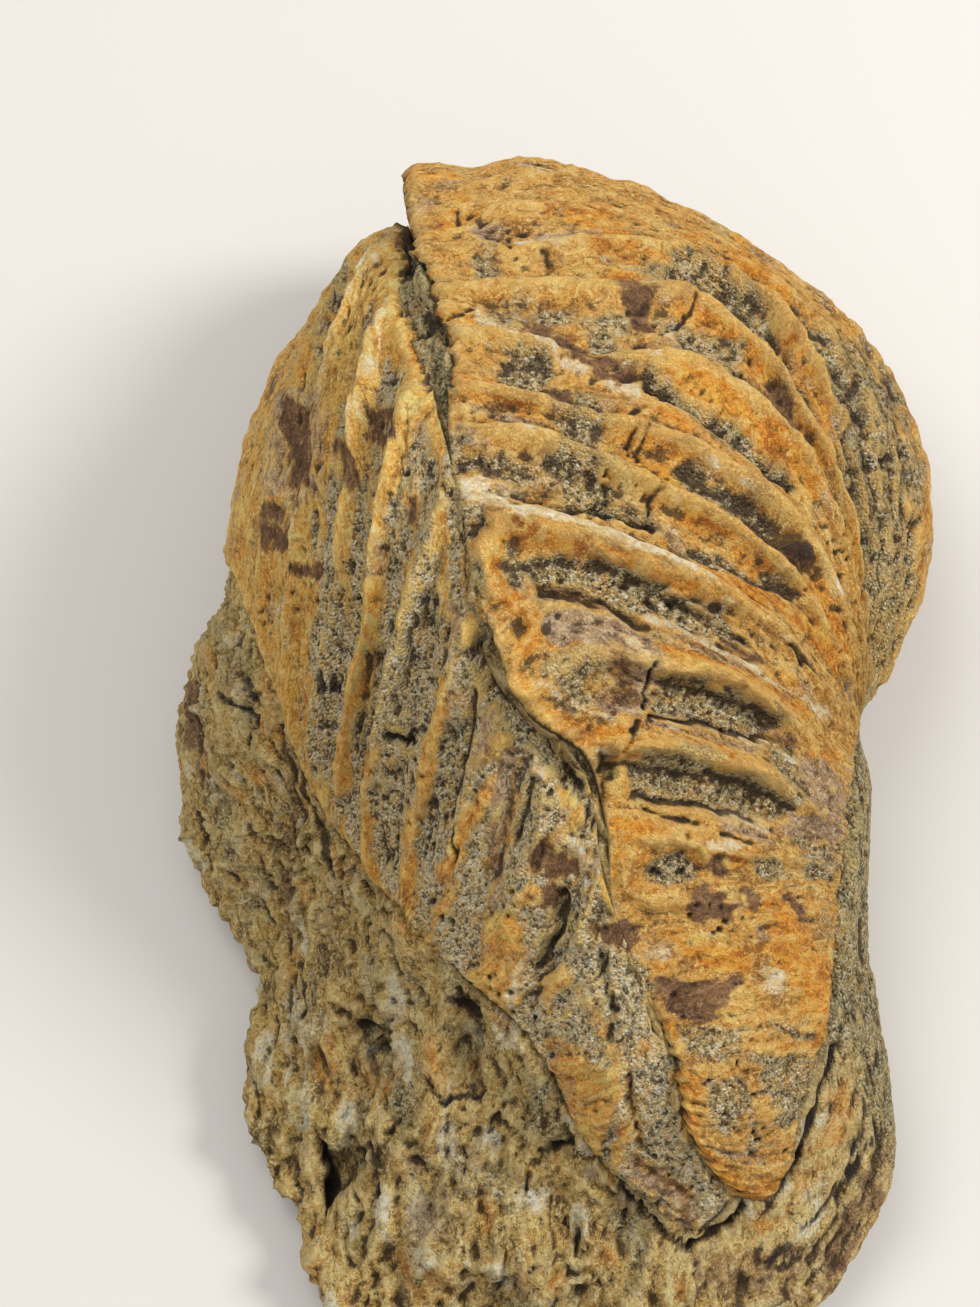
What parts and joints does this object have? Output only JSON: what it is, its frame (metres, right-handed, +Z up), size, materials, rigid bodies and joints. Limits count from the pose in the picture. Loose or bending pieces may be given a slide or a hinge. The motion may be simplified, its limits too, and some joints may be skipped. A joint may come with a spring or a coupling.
{
  "type": "fossil bivalve",
  "caption": "Closed bivalve fossil with coarse growth ribs, its valves still joined, half embedded in a lump of sandstone with a flat base to rest on.",
  "frame": {"origin": "centre of the base on the ground, under the middle of the bounding box", "axes": "+Y runs from the beaks towards the shell's open margin, +Z up, +X to the right valve's side"},
  "size_m": [0.0798, 0.1299, 0.0495],
  "materials": {
    "right_shell": "rough, iron-stained",
    "left_shell": "rough, iron-stained",
    "sandstone": "rough, granular"
  },
  "bodies": {
    "root": {"right_valve": "right_shell", "left_valve": "left_shell", "sandstone_matrix": "sandstone"}
  },
  "joints": []
}
